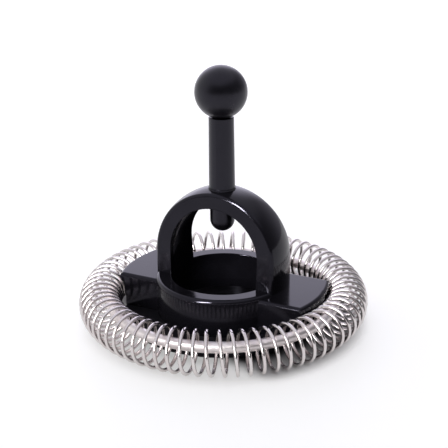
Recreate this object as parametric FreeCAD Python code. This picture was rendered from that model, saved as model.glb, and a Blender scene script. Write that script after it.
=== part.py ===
"""Spring whisk of a magnetically driven milk frother.

A black plastic hub (cup, two wings and a domed arch) carries a centre stem with a ball knob. The
hub drops into a closed coil spring, which a wire hoop inside it keeps round. Millimetres, +Z up,
origin on the axis of the whisk, level with the underside of the spring. The wings point along X.
"""

import FreeCAD
import Part
import math
import os

V = FreeCAD.Vector
UP = V(0, 0, 1)
ORIGIN = V(0, 0, 0)
FULL_TURN = 360.0
TOLERANCE = 1e-3
OVERRUN = 1.0  # how far a cutting shape runs past what it cuts

# Spring ring
RING_OUTER_R = 29.0
COIL_R = 4.3
WIRE_D = 0.7
RING_R = RING_OUTER_R - COIL_R
RING_Z = COIL_R
SEAT_GAP = 0.3

# Hoop inside the spring, and the sleeve that joins its two ends
HOOP_WIRE_R = 1.05
SLEEVE_R = 1.35
SLEEVE_LENGTH = 7.0
SLEEVE_TO_COIL_GAP = 0.1
HOOP_R = RING_R - COIL_R + WIRE_D + SLEEVE_TO_COIL_GAP + SLEEVE_R
HOOP_JOINT_ANGLE = 142.0
HOOP_END_GAP = 0.4

# Cup: an open sleeve round the post in the middle of the jug
CUP_R = 13.45
CUP_BORE_R = 10.4
CUP_TOP = 9.0
OUTER_ROUND = 0.75
INNER_ROUND = 0.12

# Wings, and the plate that closes them and the cup from below, with a hole for the post
WING_TOP = 8.3
WING_HALF_WIDTH = 7.5
WING_R = 21.2
WING_ROUND = 0.7
WAIST_R = RING_R - COIL_R - SEAT_GAP
PLATE_TOP = 1.5
PLATE_BOTTOM = 0.7
PLATE_ROUND = 0.25
POST_HOLE_R = 6.5

# Arch: a domed strap as thick as the cup's wall, a little narrower at its crown
DOME_TOP = 27.15
DOME_INNER_TOP = 24.45
ARCH_HALF_DEPTH = 4.75
ARCH_CROWN_HALF_DEPTH = 3.8
BOSS_R = 2.7
BOSS_TOP = 27.2
BOSS_BOTTOM = 25.3

# Centre stem, knob and the steel pin that joins them
STEM_BASE_R = 2.54
STEM_TOP_R = 2.41
STEM_TOP = 41.0
STEM_TOP_ROUND = 0.12
PRESS_R = 2.42
TIP_BOTTOM = 18.25
KNOB_R = 5.0
KNOB_Z = 45.75
PIN_R = 0.8
PIN_BOTTOM = 33.0
PIN_TOP = 46.5
PIN_CHAMFER = 0.2
HOLE_SPARE_DEPTH = 0.3

# Drive magnets, one sealed in each wing
MAGNET_LENGTH = 10.0
MAGNET_WIDTH = 4.4
MAGNET_HEIGHT = 4.2
MAGNET_INNER_X = 14.2
MAGNET_CHAMFER = 0.3
POCKET_GAP = 0.1


def at(radius, z):
    """A point of a turned profile, in the half plane towards -Y, away from legs and wings."""
    return V(0, -radius, z)


def turned(edges):
    """The solid swept by a closed profile, given as edges, in one turn about the Z axis."""
    face = Part.Face(Part.Wire(Part.__sortEdges__(edges)))
    return face.revolve(ORIGIN, UP, FULL_TURN)


def line(a, b):
    return Part.LineSegment(a, b).toShape()


def arc(a, middle, b):
    return Part.Arc(a, middle, b).toShape()


def polyline(*points):
    return [line(a, b) for a, b in zip(points, points[1:])]


def round_corner(centre_radius, centre_z, radius, start_degrees, end_degrees):
    """A quarter round of a turned profile: its start point, its arc and its end point."""

    def on_round(degrees):
        angle = math.radians(degrees)
        return at(centre_radius + radius * math.cos(angle), centre_z + radius * math.sin(angle))

    start = on_round(start_degrees)
    middle = on_round((start_degrees + end_degrees) / 2)
    end = on_round(end_degrees)
    return start, arc(start, middle, end), end


def ring_seat():
    """The space that the spring needs: a torus with the seat's gap all round."""
    return Part.makeTorus(RING_R, COIL_R + SEAT_GAP, V(0, 0, RING_Z), UP)


def wings():
    """Both wings in one slab: rounded top edges, and a seat for the spring under the outer lip."""
    height = WING_TOP - PLATE_TOP
    slab = Part.makeBox(2 * WING_R, 2 * WING_HALF_WIDTH, height, V(-WING_R, -WING_HALF_WIDTH, PLATE_TOP))
    slab = slab.common(Part.makeCylinder(WING_R, height, V(0, 0, PLATE_TOP)))
    top_edges = [e for e in slab.Edges if abs(e.BoundBox.ZMin - WING_TOP) < TOLERANCE]
    slab = slab.makeFillet(WING_ROUND, top_edges)
    slab = slab.cut(ring_seat())
    below_waist = Part.makeCylinder(RING_OUTER_R, RING_Z - PLATE_TOP, V(0, 0, PLATE_TOP))
    below_waist = below_waist.cut(Part.makeCylinder(WAIST_R, RING_Z - PLATE_TOP, V(0, 0, PLATE_TOP)))
    return slab.cut(below_waist)


def domed_post(radius, top, bottom):
    """A post with a half ball for its top."""
    start, crown_arc, crown = round_corner(0, top - radius, radius, 0, 90)
    return turned(polyline(crown, V(0, 0, bottom), at(radius, bottom), start) + [crown_arc])


def side_cutter(side):
    """What is cut from the domed cup on one side of the strap, above the rim. side is -1 or 1."""
    above = DOME_TOP + OVERRUN
    beside = CUP_R + OVERRUN
    lean = (ARCH_HALF_DEPTH - ARCH_CROWN_HALF_DEPTH) / (DOME_TOP - CUP_TOP)
    corners = [
        V(-beside, side * ARCH_HALF_DEPTH, CUP_TOP),
        V(-beside, side * beside, CUP_TOP),
        V(-beside, side * beside, above),
        V(-beside, side * (ARCH_HALF_DEPTH - lean * (above - CUP_TOP)), above),
    ]
    return Part.Face(Part.makePolygon(corners + corners[:1])).extrude(V(2 * beside, 0, 0))


def is_on_dome(edge, radius, top):
    """True for an edge of the rim or of the strap's side that lies on the given domed post."""
    box = edge.BoundBox
    keeps_to_one_side = box.YMin > 0 or box.YMax < 0
    middle = edge.valueAt((edge.FirstParameter + edge.LastParameter) / 2)
    height = max(middle.z - (top - radius), 0)
    off_surface = abs(math.hypot(middle.x, middle.y, height) - radius)
    return keeps_to_one_side and box.ZMin > CUP_TOP - TOLERANCE and off_surface < TOLERANCE


def cup_and_arch():
    """The sleeve and the domed strap over it, in one turned shell with its upper edges rounded."""
    shell = domed_post(CUP_R, DOME_TOP, PLATE_TOP)
    shell = shell.cut(domed_post(CUP_BORE_R, DOME_INNER_TOP, PLATE_TOP - OVERRUN))
    for side in (-1, 1):
        shell = shell.cut(side_cutter(side))
    shell = shell.makeFillet(OUTER_ROUND, [e for e in shell.Edges if is_on_dome(e, CUP_R, DOME_TOP)])
    inner_edges = [e for e in shell.Edges if is_on_dome(e, CUP_BORE_R, DOME_INNER_TOP)]
    return shell.makeFillet(INNER_ROUND, inner_edges)


def magnet_box(side, gap, chamfer):
    """The block of one magnet, grown by gap on its sides and top. side is -1 or 1."""
    length = MAGNET_LENGTH + 2 * gap
    width = MAGNET_WIDTH + 2 * gap
    centre_x = side * (MAGNET_INNER_X + MAGNET_WIDTH / 2)
    corner = V(centre_x - width / 2, -length / 2, PLATE_TOP)
    block = Part.makeBox(width, length, MAGNET_HEIGHT + gap, corner)
    if chamfer:
        upright = [e for e in block.Edges if e.BoundBox.ZLength > MAGNET_HEIGHT / 2]
        block = block.makeChamfer(chamfer, upright)
    return block


def hub_body():
    """The main moulding: cup, wings and arch in one, with the magnets' pockets and the stem's hole."""
    body = cup_and_arch().fuse([wings(), boss()])
    body = body.cut(Part.makeCylinder(CUP_BORE_R, CUP_TOP, ORIGIN))
    for side in (-1, 1):
        body = body.cut(magnet_box(side, POCKET_GAP, 0))
    return body.cut(Part.makeCylinder(PRESS_R, DOME_TOP, V(0, 0, CUP_TOP))).removeSplitter()


def boss():
    """The low round pad on the crown that the stem's shoulder sits on."""
    return Part.makeCylinder(BOSS_R, BOSS_TOP - BOSS_BOTTOM, V(0, 0, BOSS_BOTTOM))


def bottom_plate():
    """The disc welded under the cup and the wings. It closes the magnets' pockets."""
    plate = Part.makeCylinder(WAIST_R, PLATE_TOP - PLATE_BOTTOM, V(0, 0, PLATE_BOTTOM))
    outer_edges = [e for e in plate.Edges if e.BoundBox.ZLength < TOLERANCE]
    plate = plate.makeFillet(PLATE_ROUND, outer_edges)
    return plate.cut(Part.makeCylinder(POST_HOLE_R, PLATE_TOP, ORIGIN))


def centre_stem():
    """The stem, pressed into the crown down to its shoulder. Its rounded tip is the pivot."""
    pole, tip_arc, tip_side = round_corner(0, TIP_BOTTOM + PRESS_R, PRESS_R, -90, 0)
    top_start, top_arc, top_end = round_corner(
        STEM_TOP_R - STEM_TOP_ROUND, STEM_TOP - STEM_TOP_ROUND, STEM_TOP_ROUND, 0, 90)
    hole_bottom = PIN_BOTTOM - HOLE_SPARE_DEPTH
    edges = [tip_arc, top_arc]
    edges += polyline(tip_side, at(PRESS_R, BOSS_TOP), at(STEM_BASE_R, BOSS_TOP), top_start)
    edges += polyline(top_end, at(PIN_R, STEM_TOP), at(PIN_R, hole_bottom), V(0, 0, hole_bottom), pole)
    return turned(edges)


def ball_knob():
    """The ball, cut flat where it sits on the stem, with a blind hole for the pin."""
    ball = Part.makeSphere(KNOB_R, V(0, 0, KNOB_Z))
    below = Part.makeCylinder(KNOB_R, 2 * KNOB_R, V(0, 0, STEM_TOP - 2 * KNOB_R))
    hole_depth = PIN_TOP + HOLE_SPARE_DEPTH - STEM_TOP
    hole = Part.makeCylinder(PIN_R, hole_depth + OVERRUN, V(0, 0, STEM_TOP - OVERRUN))
    return ball.cut(below).cut(hole)


def knob_pin():
    """The steel dowel that ties the ball to the stem."""
    pin = Part.makeCylinder(PIN_R, PIN_TOP - PIN_BOTTOM, V(0, 0, PIN_BOTTOM))
    rims = [e for e in pin.Edges if e.BoundBox.ZLength < TOLERANCE]
    return pin.makeChamfer(PIN_CHAMFER, rims)


def coil_spring():
    """The space that the closed coil takes up: a hollow ring whose wall is as thick as the wire."""
    outside = Part.makeTorus(RING_R, COIL_R, V(0, 0, RING_Z), UP)
    return outside.cut(Part.makeTorus(RING_R, COIL_R - WIRE_D, V(0, 0, RING_Z), UP))


def hoop_stretch(radius, start_degrees, sweep_degrees):
    """A bent rod of the given radius along the hoop's circle."""
    start = math.radians(start_degrees)
    centre = V(HOOP_R * math.cos(start), HOOP_R * math.sin(start), RING_Z)
    tangent = V(-math.sin(start), math.cos(start), 0)
    section = Part.Face(Part.Wire(Part.makeCircle(radius, centre, tangent)))
    return section.revolve(V(0, 0, RING_Z), UP, sweep_degrees)


def core_hoop():
    """The wire hoop, open by a hair where its ends meet."""
    gap_degrees = math.degrees(HOOP_END_GAP / HOOP_R)
    return hoop_stretch(HOOP_WIRE_R, HOOP_JOINT_ANGLE + gap_degrees / 2, FULL_TURN - gap_degrees)


def hoop_sleeve():
    """The crimped sleeve over the hoop's two ends."""
    sweep = math.degrees(SLEEVE_LENGTH / HOOP_R)
    start = HOOP_JOINT_ANGLE - sweep / 2
    return hoop_stretch(SLEEVE_R, start, sweep).cut(hoop_stretch(HOOP_WIRE_R, start, sweep))


def main():
    parts = {
        "hub_body": hub_body(),
        "bottom_plate": bottom_plate(),
        "magnet_left": magnet_box(-1, 0, MAGNET_CHAMFER),
        "magnet_right": magnet_box(1, 0, MAGNET_CHAMFER),
        "centre_stem": centre_stem(),
        "knob_pin": knob_pin(),
        "ball_knob": ball_knob(),
        "coil_spring": coil_spring(),
        "core_hoop": core_hoop(),
        "hoop_sleeve": hoop_sleeve(),
    }
    os.makedirs("parts", exist_ok=True)
    for name, shape in parts.items():
        print(f"{name:14} solids {len(shape.Solids)} valid {shape.isValid()} volume {shape.Volume:9.2f}")
        shape.exportStep(f"parts/{name}.step")


main()
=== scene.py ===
"""Looks of a milk frother's spring whisk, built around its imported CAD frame.

The CAD model carries the hub, the stem, the ball and the hoop, whose shapes stay. This script winds
the real coil of wire in place of its hollow stand-in ring, gives every piece a procedural material,
and adds the floor, the light and the camera. Metres, in the frame of the CAD model.
"""

import math
import random

import bmesh
import bpy
from mathutils import Matrix, Vector


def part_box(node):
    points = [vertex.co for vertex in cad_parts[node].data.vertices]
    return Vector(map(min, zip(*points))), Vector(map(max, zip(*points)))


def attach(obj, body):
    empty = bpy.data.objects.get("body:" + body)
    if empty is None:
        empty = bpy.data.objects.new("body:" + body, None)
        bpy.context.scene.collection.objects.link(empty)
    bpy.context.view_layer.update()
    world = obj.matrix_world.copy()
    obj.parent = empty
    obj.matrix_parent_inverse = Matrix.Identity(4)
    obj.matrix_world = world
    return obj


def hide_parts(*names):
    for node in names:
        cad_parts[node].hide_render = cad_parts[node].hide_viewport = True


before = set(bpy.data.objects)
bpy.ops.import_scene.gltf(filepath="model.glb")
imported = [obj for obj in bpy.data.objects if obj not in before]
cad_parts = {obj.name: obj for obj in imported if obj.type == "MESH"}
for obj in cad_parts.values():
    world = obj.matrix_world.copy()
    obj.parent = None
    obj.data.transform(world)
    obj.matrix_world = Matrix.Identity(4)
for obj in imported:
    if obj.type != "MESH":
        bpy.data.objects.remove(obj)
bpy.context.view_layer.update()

MM = 0.001
TAU = 2 * math.pi
SEED = 11

# Camera: turned about the whisk's axis from the front, and a little above it
VIEW_AZIMUTH = math.radians(27.1)
VIEW_ELEVATION = math.radians(20.3)
VIEW_ROLL = math.radians(-0.65)
VIEW_DISTANCE = 169.85 * MM
VIEW_AIM_HEIGHT = 19.48 * MM
VIEW_AIM_SIDE = 0.29 * MM
LENS_MM = 69.27
SENSOR_MM = 36.0
CLIP_START = 10 * MM

# The coil: its wire, how often it goes round, and where its turns stand
WIRE_D = 0.7 * MM
TURNS = 69
TURN_PHASE = math.radians(2.4)
# Its spacing: (waves round the ring, share of the spacing, where it is widest), then uneven everywhere
STRETCH = ((1, 0.099, math.radians(115.4)), (2, 0.054, math.radians(130.4)))
UNEVEN = ((8, 0.015), (13, 0.02), (21, 0.03), (34, 0.03))
STEPS_PER_TURN = 30
WIRE_SIDES = 10

# Black plastics: colour, roughness, how far the roughness wanders, specular level, height of the skin
GLOSS_PLASTIC = ((0.0014, 0.0013, 0.0018), 0.125, 0.03, 0.23, 0.001 * MM)
SATIN_PLASTIC = ((0.0042, 0.0040, 0.0052), 0.32, 0.05, 0.38, 0.003 * MM)
PLATE_PLASTIC = ((0.0060, 0.0057, 0.0068), 0.50, 0.06, 0.10, 0.003 * MM)
PLASTIC_TINT = (0.84, 0.81, 1.0, 1.0)
FLOW_MARK_GAIN = 1.7

# Drawn wires: colour, roughness, how far the roughness wanders
HOOP_STEEL = ((0.81, 0.77, 0.765), 0.34, 0.08)
COIL_STEEL = ((0.70, 0.67, 0.665), 0.14, 0.05)
WARM_PATCH = (0.90, 0.86, 0.86)
# How often the drawing marks change. Coil: per metre along its wire, and per turn round the wire; a UV
# map has no third part. Hoop: per metre across it
COIL_MARKS = (40.0, 9.0, 1.0)
HOOP_MARKS = 3000.0

# Plated and ground metals: colour, least roughness
NICKEL = ((0.66, 0.63, 0.58), 0.2)
PIN_STEEL = ((0.62, 0.62, 0.63), 0.25)
GRAIN_SPREAD = 0.15
GRAIN_SHADE = 0.8

# Noises: (waves per metre, layers of finer waves, how strong those are)
FLOW_NOISE = (190.0, 4.0, 0.55)
HANDLING_NOISE = (900.0, 5.0, 0.65)
SKIN_NOISE = (2600.0, 3.0, 0.5)
MARKS_NOISE = (1.0, 4.0, 0.6)
PATCH_NOISE = (160.0, 3.0, 0.5)
GRAIN_NOISE = (700.0, 4.0, 0.6)
MOTTLE_NOISE = (14.0, 3.0, 0.5)
# How some of them are squeezed along X, Y and Z
HANDLING_SQUEEZE = (1.0, 1.0, 0.35)
GRAIN_SQUEEZE = (1.0, 1.0, 6.0)
# The part of a noise's range that a colour or a roughness follows
FLOW_RANGE = (0.35, 0.7)
HANDLING_RANGE = (0.3, 0.75)
METAL_RANGE = (0.3, 0.7)
# Bumps: (height, strength). The skin's height comes with its plastic
FLOW_BUMP = (0.012 * MM, 0.6)
SKIN_BUMP_STRENGTH = 0.5
MARKS_BUMP = (0.006 * MM, 0.7)
GRAIN_BUMP = (0.004 * MM, 0.6)

# Floor and backdrop
FLOOR_SIZE = 8.0
FLOOR_GLOW = 0.46
FLOOR_ROUGHNESS = 0.55
FLOOR_SPECULAR = 0.3
FLOOR_TONES = ((0.68, 0.685, 0.66), (0.71, 0.715, 0.69))
SHADED_TONE = (0.42, 0.42, 0.41)
DEEP_SHADE_TONE = (0.10, 0.10, 0.10)
BACKDROP_R = 3.0
BACKDROP_HEIGHT = 5.0
BACKDROP_FOOT = -1.0
BACKDROP_SIDES = 96

# The distances from the whisk's axis over which the floor's shade ends, and its deep middle
SHADE_EDGE = (25 * MM, 30 * MM)
DEEP_SHADE_EDGE = (20 * MM, 23 * MM)
# Where the shade is least, under the coil on one side: the way there, how far along it, and how far
# from the axis. The share is of the floor's own glow
LEAST_SHADE_AT = math.radians(-110)
OPEN_SIDE = (10.5 * MM, 15 * MM)
LIT_RIM_EDGE = (15 * MM, 19 * MM)
LIT_RIM_SHARE = 0.95

# The room, as brightness that the shiny parts reflect
BACK_LIGHT = (1.78, 1.72, 2.06, 1.0)
BACK_RIGHT_LIGHT = (0.50, 0.48, 0.56, 1.0)
TOP_LIGHT = (0.88, 0.87, 0.95, 1.0)
LEFT_LIGHT = (0.90, 0.90, 0.92, 1.0)
RIGHT_LIGHT = (0.16, 0.16, 0.17, 1.0)
FRONT_LIGHT = (0.05, 0.05, 0.05, 1.0)
# Where one of them passes into the next, by how far a direction points to the right, from -1 to 1
LEFT_TO_RIGHT = (-0.2, 0.7)
LEFT_TO_BACK = (-0.7, -0.25)
BACK_TO_BACK_RIGHT = (0.15, 0.5)
# The same, by how far it points to the front
BACK_TO_SIDES = (-0.7, 0.0)
SIDES_TO_FRONT = (0.25, 0.75)
# The same, by how far it points up
FRONT_TO_WALLS = (0.45, 0.75)
WALLS_TO_TOP = (0.5, 0.85)

# Two soft boxes in front and to the left: (azimuth, elevation, lean, width, height, power in watts)
KEY_DISTANCE = 0.60
PLASTIC_KEY = (math.radians(-6.8), math.radians(25.6), math.radians(26.0), 0.11, 0.32, 11.5)
STEEL_KEY = (math.radians(-3.8), math.radians(25.6), 0.0, 0.45, 0.40, 4.2)


def view_direction(azimuth, elevation):
    """The direction from the object towards a viewer."""
    level = math.cos(elevation)
    return Vector((math.sin(azimuth) * level, -math.cos(azimuth) * level, math.sin(elevation)))


def right_of(azimuth):
    """The level direction to the right of a viewer who looks at the object."""
    return Vector((math.cos(azimuth), math.sin(azimuth), 0))


def looking_back(azimuth, elevation, roll):
    """The turn that makes a camera or a lamp at the viewer's place look at the object."""
    back = view_direction(azimuth, elevation)
    right = right_of(azimuth)
    up = back.cross(right)
    turned = Matrix((right, up, back)).transposed() @ Matrix.Rotation(roll, 3, "Z")
    return turned.to_4x4()


def new_object(name, data):
    """An object for a mesh, a lamp or a camera, in the scene."""
    thing = bpy.data.objects.new(name, data)
    bpy.context.scene.collection.objects.link(thing)
    return thing


# ---------------------------------------------------------------- node helpers

class Nodes:
    """A small builder for one node tree."""

    def __init__(self, tree):
        self.tree = tree
        tree.nodes.clear()

    def add(self, kind, **inputs):
        """A node of the given kind. Keywords name its inputs, with spaces as underscores."""
        node = self.tree.nodes.new(kind)
        for name, value in inputs.items():
            self.feed(node.inputs[name.replace("_", " ")], value)
        return node

    def feed(self, socket, value):
        """Links a socket into another, or sets it to a plain value."""
        if isinstance(value, bpy.types.NodeSocket):
            self.tree.links.new(value, socket)
        else:
            socket.default_value = value

    def math(self, operation, a, b=0.0):
        node = self.tree.nodes.new("ShaderNodeMath")
        node.operation = operation
        self.feed(node.inputs[0], a)
        self.feed(node.inputs[1], b)
        return node.outputs[0]

    def remap(self, value, low, high, to_low, to_high, smooth=False):
        """The value taken from one range to another, and held at its ends."""
        node = self.tree.nodes.new("ShaderNodeMapRange")
        node.interpolation_type = "SMOOTHSTEP" if smooth else "LINEAR"
        for socket, number in zip(node.inputs, (value, low, high, to_low, to_high)):
            self.feed(socket, number)
        return node.outputs[0]

    def step(self, value, edge, height=1.0):
        """A smooth step from 0 up to the height, as the value goes over an edge."""
        return self.remap(value, *edge, 0.0, height, smooth=True)

    def mix(self, share, a, b):
        node = self.tree.nodes.new("ShaderNodeMix")
        node.data_type = "RGBA"
        self.feed(node.inputs[0], share)
        self.feed(node.inputs[6], a)
        self.feed(node.inputs[7], b)
        return node.outputs[2]

    def two_tones(self, noise, limits, first, second):
        """A colour that wanders between two tones as a noise goes over its limits."""
        return self.mix(self.remap(noise, *limits, 0.0, 1.0), (*first, 1.0), (*second, 1.0))

    def noise(self, vector, scale, detail, roughness):
        node = self.add(
            "ShaderNodeTexNoise", Vector=vector, Scale=scale, Detail=detail, Roughness=roughness)
        return node.outputs[0]

    def squeezed(self, vector, factors):
        return self.add("ShaderNodeMapping", Vector=vector, Scale=factors).outputs[0]

    def along(self, parts, direction):
        """How far a point is along a level direction, from its separate coordinates."""
        return self.math("ADD", self.math("MULTIPLY", parts[0], direction.x),
                         self.math("MULTIPLY", parts[1], direction.y))

    def level_distance(self, parts):
        """How far a point is from the upright axis, from its separate coordinates."""
        square = self.math("ADD", self.math("MULTIPLY", parts[0], parts[0]),
                           self.math("MULTIPLY", parts[1], parts[1]))
        return self.math("SQRT", square)

    def bump(self, height, distance, strength, normal=None):
        node = self.add("ShaderNodeBump", Height=height, Distance=distance, Strength=strength)
        if normal is not None:
            self.feed(node.inputs["Normal"], normal)
        return node.outputs[0]


def new_material(name):
    """A new material, with its node builder, Principled shader and object-space coordinates."""
    material = bpy.data.materials.new(name)
    material.use_nodes = True
    nodes = Nodes(material.node_tree)
    shader = nodes.add("ShaderNodeBsdfPrincipled")
    nodes.add("ShaderNodeOutputMaterial", Surface=shader.outputs[0])
    place = nodes.add("ShaderNodeTexCoord").outputs["Object"]
    return material, nodes, shader, place


# ---------------------------------------------------------------- materials

def black_plastic(name, tone, roughness, spread, specular, skin_height):
    """Moulded black plastic: faint flow marks in its colour and surface, handling marks in its gloss,
    and a fine skin."""
    material, nodes, shader, place = new_material(name)
    flow = nodes.noise(place, *FLOW_NOISE)
    handling = nodes.noise(nodes.squeezed(place, HANDLING_SQUEEZE), *HANDLING_NOISE)
    flow_mark = [channel * FLOW_MARK_GAIN for channel in tone]
    nodes.feed(shader.inputs["Base Color"], nodes.two_tones(flow, FLOW_RANGE, tone, flow_mark))
    gloss = nodes.remap(handling, *HANDLING_RANGE, roughness - spread, roughness + spread)
    nodes.feed(shader.inputs["Roughness"], gloss)
    shader.inputs["Specular IOR Level"].default_value = specular
    shader.inputs["Specular Tint"].default_value = PLASTIC_TINT
    skin = nodes.noise(place, *SKIN_NOISE)
    waves = nodes.bump(flow, *FLOW_BUMP)
    nodes.feed(shader.inputs["Normal"], nodes.bump(skin, skin_height, SKIN_BUMP_STRENGTH, waves))
    return material


def steel_wire(name, marks_along, tone, roughness, spread):
    """Drawn stainless wire. marks_along gives the coordinates that its drawing marks follow."""
    material, nodes, shader, place = new_material(name)
    marks = nodes.noise(marks_along(nodes, place), *MARKS_NOISE)
    patch = nodes.noise(place, *PATCH_NOISE)
    warm = [channel * factor for channel, factor in zip(tone, WARM_PATCH)]
    nodes.feed(shader.inputs["Base Color"], nodes.two_tones(patch, METAL_RANGE, tone, warm))
    shader.inputs["Metallic"].default_value = 1.0
    gloss = nodes.remap(marks, *METAL_RANGE, roughness - spread, roughness + spread)
    nodes.feed(shader.inputs["Roughness"], gloss)
    nodes.feed(shader.inputs["Normal"], nodes.bump(marks, *MARKS_BUMP))
    return material


def along_coil(nodes, _place):
    """Coordinates that follow the coil's wire, from its UV map: U runs along it, V round it."""
    uv = nodes.add("ShaderNodeTexCoord").outputs["UV"]
    return nodes.squeezed(uv, COIL_MARKS)


def along_hoop(nodes, place):
    """Coordinates that follow the hoop's circle: angle, distance from the axis, and height."""
    parts = nodes.add("ShaderNodeSeparateXYZ", Vector=place).outputs
    angle = nodes.math("ARCTAN2", parts[1], parts[0])
    away = nodes.math("MULTIPLY", nodes.level_distance(parts), HOOP_MARKS)
    height = nodes.math("MULTIPLY", parts[2], HOOP_MARKS)
    return nodes.add("ShaderNodeCombineXYZ", X=angle, Y=away, Z=height).outputs[0]


def plated_metal(name, tone, roughness):
    """Plain plated or ground metal, for the pieces that are sealed inside."""
    material, nodes, shader, place = new_material(name)
    grain = nodes.noise(nodes.squeezed(place, GRAIN_SQUEEZE), *GRAIN_NOISE)
    dull = [channel * GRAIN_SHADE for channel in tone]
    nodes.feed(shader.inputs["Base Color"], nodes.two_tones(grain, METAL_RANGE, tone, dull))
    shader.inputs["Metallic"].default_value = 1.0
    gloss = nodes.remap(grain, *METAL_RANGE, roughness, roughness + GRAIN_SPREAD)
    nodes.feed(shader.inputs["Roughness"], gloss)
    nodes.feed(shader.inputs["Normal"], nodes.bump(grain, *GRAIN_BUMP))
    return material


def floor_material():
    """A pale matt table top with the faintest mottling, shaded where the whisk stands on it."""
    material, nodes, shader, place = new_material("pale_floor")
    parts = nodes.add("ShaderNodeSeparateXYZ", Vector=place).outputs
    away = nodes.level_distance(parts)
    to_open_side = Vector((math.cos(LEAST_SHADE_AT), math.sin(LEAST_SHADE_AT), 0))
    clear = nodes.step(away, SHADE_EDGE)
    lit_rim = nodes.step(away, LIT_RIM_EDGE, LIT_RIM_SHARE * FLOOR_GLOW)
    open_side = nodes.step(nodes.along(parts, to_open_side), OPEN_SIDE)
    glow_below = nodes.math("MULTIPLY", lit_rim, open_side)
    nodes.feed(shader.inputs["Emission Strength"], nodes.remap(clear, 0.0, 1.0, glow_below, FLOOR_GLOW))
    low_tone, high_tone = FLOOR_TONES
    pale = nodes.mix(nodes.noise(place, *MOTTLE_NOISE), (*low_tone, 1.0), (*high_tone, 1.0))
    shaded = nodes.mix(nodes.step(away, DEEP_SHADE_EDGE), (*DEEP_SHADE_TONE, 1.0), (*SHADED_TONE, 1.0))
    nodes.feed(shader.inputs["Base Color"], nodes.mix(clear, shaded, pale))
    shader.inputs["Roughness"].default_value = FLOOR_ROUGHNESS
    shader.inputs["Specular IOR Level"].default_value = FLOOR_SPECULAR
    shader.inputs["Emission Color"].default_value = (1.0, 1.0, 1.0, 1.0)
    return material


def glowing_white(name):
    """A plain white glow, without any shading."""
    material = bpy.data.materials.new(name)
    material.use_nodes = True
    nodes = Nodes(material.node_tree)
    glow = nodes.add("ShaderNodeEmission", Color=(1.0, 1.0, 1.0, 1.0), Strength=1.0)
    nodes.add("ShaderNodeOutputMaterial", Surface=glow.outputs[0])
    return material


def dress(node, material):
    """Gives a CAD node its material, in every slot that it has."""
    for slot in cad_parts[node].material_slots:
        slot.material = material


# ---------------------------------------------------------------- the coil

def waver(share, terms):
    """A small sum of waves, the same after one whole turn round the ring."""
    return sum(size * math.sin(count * TAU * share + start) for count, size, start in terms)


def coil_line():
    """The wire's centre line and, at each of its points, the way out of the coil."""
    low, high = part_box("coil_spring")
    coil_r = (high.z - low.z) / 2
    ring_r = (high.x - low.x) / 2 - coil_r
    line_r = coil_r - WIRE_D / 2
    chance = random.Random(SEED)
    spacing = [(count, size / count, chance.uniform(0, TAU)) for count, size in UNEVEN]
    spacing += [(count, size / count, -count * widest) for count, size, widest in STRETCH]
    steps = TURNS * STEPS_PER_TURN
    points = []
    outwards = []
    for step in range(steps):
        share = step / steps
        around = TAU * share + waver(share, spacing) + TURN_PHASE
        turn = TAU * TURNS * share
        radial = Vector((math.cos(around), math.sin(around), 0))
        out = -math.cos(turn) * radial + math.sin(turn) * Vector((0, 0, 1))
        centre = ring_r * radial + Vector((0, 0, low.z + coil_r))
        points.append(centre + line_r * out)
        outwards.append(out)
    return points, outwards


def closed_wire(points, outwards):
    """A round wire along a closed line: its points, faces, and a UV pair for each corner of a face."""
    count = len(points)
    vertices = []
    lengths = [0.0]
    for i in range(count):
        ahead = points[(i + 1) % count]
        tangent = (ahead - points[i - 1]).normalized()
        across = (outwards[i] - outwards[i].dot(tangent) * tangent).normalized()
        beside = tangent.cross(across)
        for side in range(WIRE_SIDES):
            angle = TAU * side / WIRE_SIDES
            out = math.cos(angle) * across + math.sin(angle) * beside
            vertices.append(points[i] + WIRE_D / 2 * out)
        lengths.append(lengths[-1] + (ahead - points[i]).length)
    faces = []
    uvs = []
    for i in range(count):
        here = i * WIRE_SIDES
        ahead = (i + 1) % count * WIRE_SIDES
        for side in range(WIRE_SIDES):
            other = (side + 1) % WIRE_SIDES
            faces.append((here + side, here + other, ahead + other, ahead + side))
            low, high = side / WIRE_SIDES, (side + 1) / WIRE_SIDES
            uvs += [(lengths[i], low), (lengths[i], high), (lengths[i + 1], high), (lengths[i + 1], low)]
    return vertices, faces, uvs


def smooth_mesh(name, points, faces, uvs, material):
    """A smooth-shaded mesh with one UV pair for each corner of each face."""
    mesh = bpy.data.meshes.new(name)
    mesh.from_pydata(points, [], faces)
    layer = mesh.uv_layers.new(name="along")
    for loop, uv in zip(layer.data, uvs):
        loop.uv = uv
    mesh.polygons.foreach_set("use_smooth", [True] * len(mesh.polygons))
    mesh.materials.append(material)
    mesh.update()
    return mesh


def build_coil(material):
    """The spring: one closed wire wound round the ring, in place of its hollow stand-in."""
    points, outwards = coil_line()
    coil = new_object("coil_wire", smooth_mesh("coil_wire", *closed_wire(points, outwards), material))
    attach(coil, "coil")
    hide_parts("coil_spring")
    return coil


# ---------------------------------------------------------------- surroundings

def mesh_from(name, shape, material):
    """A mesh from a bmesh, which is used up."""
    mesh = bpy.data.meshes.new(name)
    shape.to_mesh(mesh)
    shape.free()
    mesh.materials.append(material)
    return mesh


def build_floor():
    """A wide flat table under the ring, and nothing else."""
    low, _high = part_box("coil_spring")
    grid = bmesh.new()
    bmesh.ops.create_grid(grid, x_segments=2, y_segments=2, size=FLOOR_SIZE / 2)
    floor = new_object("floor", mesh_from("floor", grid, floor_material()))
    floor.location.z = low.z


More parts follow.
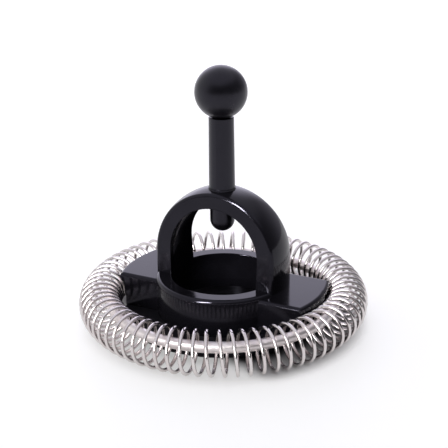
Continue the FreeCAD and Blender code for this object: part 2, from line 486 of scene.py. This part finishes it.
def build_backdrop():
    """A round pale wall far away, which only the camera sees. It neither lights nor is reflected."""
    wall = bmesh.new()
    bmesh.ops.create_cone(
        wall, segments=BACKDROP_SIDES, radius1=BACKDROP_R, radius2=BACKDROP_R, depth=BACKDROP_HEIGHT)
    backdrop = new_object("backdrop", mesh_from("backdrop", wall, glowing_white("pale_backdrop")))
    backdrop.location.z = BACKDROP_FOOT + BACKDROP_HEIGHT / 2
    backdrop.visible_diffuse = False
    backdrop.visible_glossy = False
    backdrop.visible_transmission = False
    backdrop.visible_shadow = False


def build_world():
    """A pale room: bright behind and above the whisk, dim to the right and where the camera stands."""
    world = bpy.data.worlds.new("pale_room")
    world.use_nodes = True
    bpy.context.scene.world = world
    nodes = Nodes(world.node_tree)
    way = nodes.add("ShaderNodeTexCoord").outputs["Generated"]
    parts = nodes.add("ShaderNodeSeparateXYZ", Vector=way).outputs
    towards_front = nodes.along(parts, view_direction(VIEW_AZIMUTH, 0.0))
    towards_right = nodes.along(parts, right_of(VIEW_AZIMUTH))
    side = nodes.mix(nodes.step(towards_right, LEFT_TO_RIGHT), LEFT_LIGHT, RIGHT_LIGHT)
    back = nodes.mix(nodes.step(towards_right, LEFT_TO_BACK), LEFT_LIGHT, BACK_LIGHT)
    back = nodes.mix(nodes.step(towards_right, BACK_TO_BACK_RIGHT), back, BACK_RIGHT_LIGHT)
    light = nodes.mix(nodes.step(towards_front, BACK_TO_SIDES), back, side)
    in_front = nodes.step(towards_front, SIDES_TO_FRONT)
    low_down = nodes.remap(parts[2], *FRONT_TO_WALLS, 1.0, 0.0, smooth=True)
    light = nodes.mix(nodes.math("MULTIPLY", in_front, low_down), light, FRONT_LIGHT)
    light = nodes.mix(nodes.step(parts[2], WALLS_TO_TOP), light, TOP_LIGHT)
    background = nodes.add("ShaderNodeBackground", Color=light, Strength=1.0)
    nodes.add("ShaderNodeOutputWorld", Surface=background.outputs[0])


def build_key_light(name, recipe, lit):
    """A soft box that lights only the named nodes or pieces. Its lean turns it about its own axis."""
    azimuth, elevation, lean, width, height, power = recipe
    light = bpy.data.lights.new(name, "AREA")
    light.shape = "RECTANGLE"
    light.size = width
    light.size_y = height
    light.energy = power
    lamp = new_object(name, light)
    lamp.matrix_world = looking_back(azimuth, elevation, -lean)
    lamp.location = view_direction(azimuth, elevation) * KEY_DISTANCE
    group = bpy.data.collections.new("lit_by_" + name)
    for piece in lit:
        group.objects.link(piece)
    lamp.light_linking.receiver_collection = group


def build_camera():
    """The photograph's view."""
    data = bpy.data.cameras.new("camera")
    data.lens = LENS_MM
    data.sensor_width = SENSOR_MM
    data.clip_start = CLIP_START
    camera = new_object("camera", data)
    camera.matrix_world = looking_back(VIEW_AZIMUTH, VIEW_ELEVATION, VIEW_ROLL)
    away = view_direction(VIEW_AZIMUTH, VIEW_ELEVATION) * VIEW_DISTANCE
    aside = right_of(VIEW_AZIMUTH) * VIEW_AIM_SIDE
    camera.location = away + aside + Vector((0, 0, VIEW_AIM_HEIGHT))
    bpy.context.scene.camera = camera


# ---------------------------------------------------------------- making

build_camera()
build_world()
build_floor()
build_backdrop()

looks = {
    "hub_body": black_plastic("black_gloss_plastic_look", *GLOSS_PLASTIC),
    "centre_stem": black_plastic("black_satin_plastic_look", *SATIN_PLASTIC),
    "bottom_plate": black_plastic("black_ring_plastic_look", *PLATE_PLASTIC),
    "core_hoop": steel_wire("hoop_wire_look", along_hoop, *HOOP_STEEL),
    "magnet_left": plated_metal("magnet_nickel_look", *NICKEL),
    "knob_pin": plated_metal("pin_steel_look", *PIN_STEEL),
}
looks["ball_knob"] = looks["centre_stem"]
looks["hoop_sleeve"] = looks["core_hoop"]
looks["magnet_right"] = looks["magnet_left"]
for node, look in looks.items():
    dress(node, look)

coil = build_coil(steel_wire("spring_wire_look", along_coil, *COIL_STEEL))
hub, hoop, sleeve = (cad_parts[node] for node in ("hub_body", "core_hoop", "hoop_sleeve"))
build_key_light("plastic_key", PLASTIC_KEY, [hub])
build_key_light("steel_key", STEEL_KEY, [coil, hoop, sleeve])

bpy.context.scene.view_settings.view_transform = "Standard"
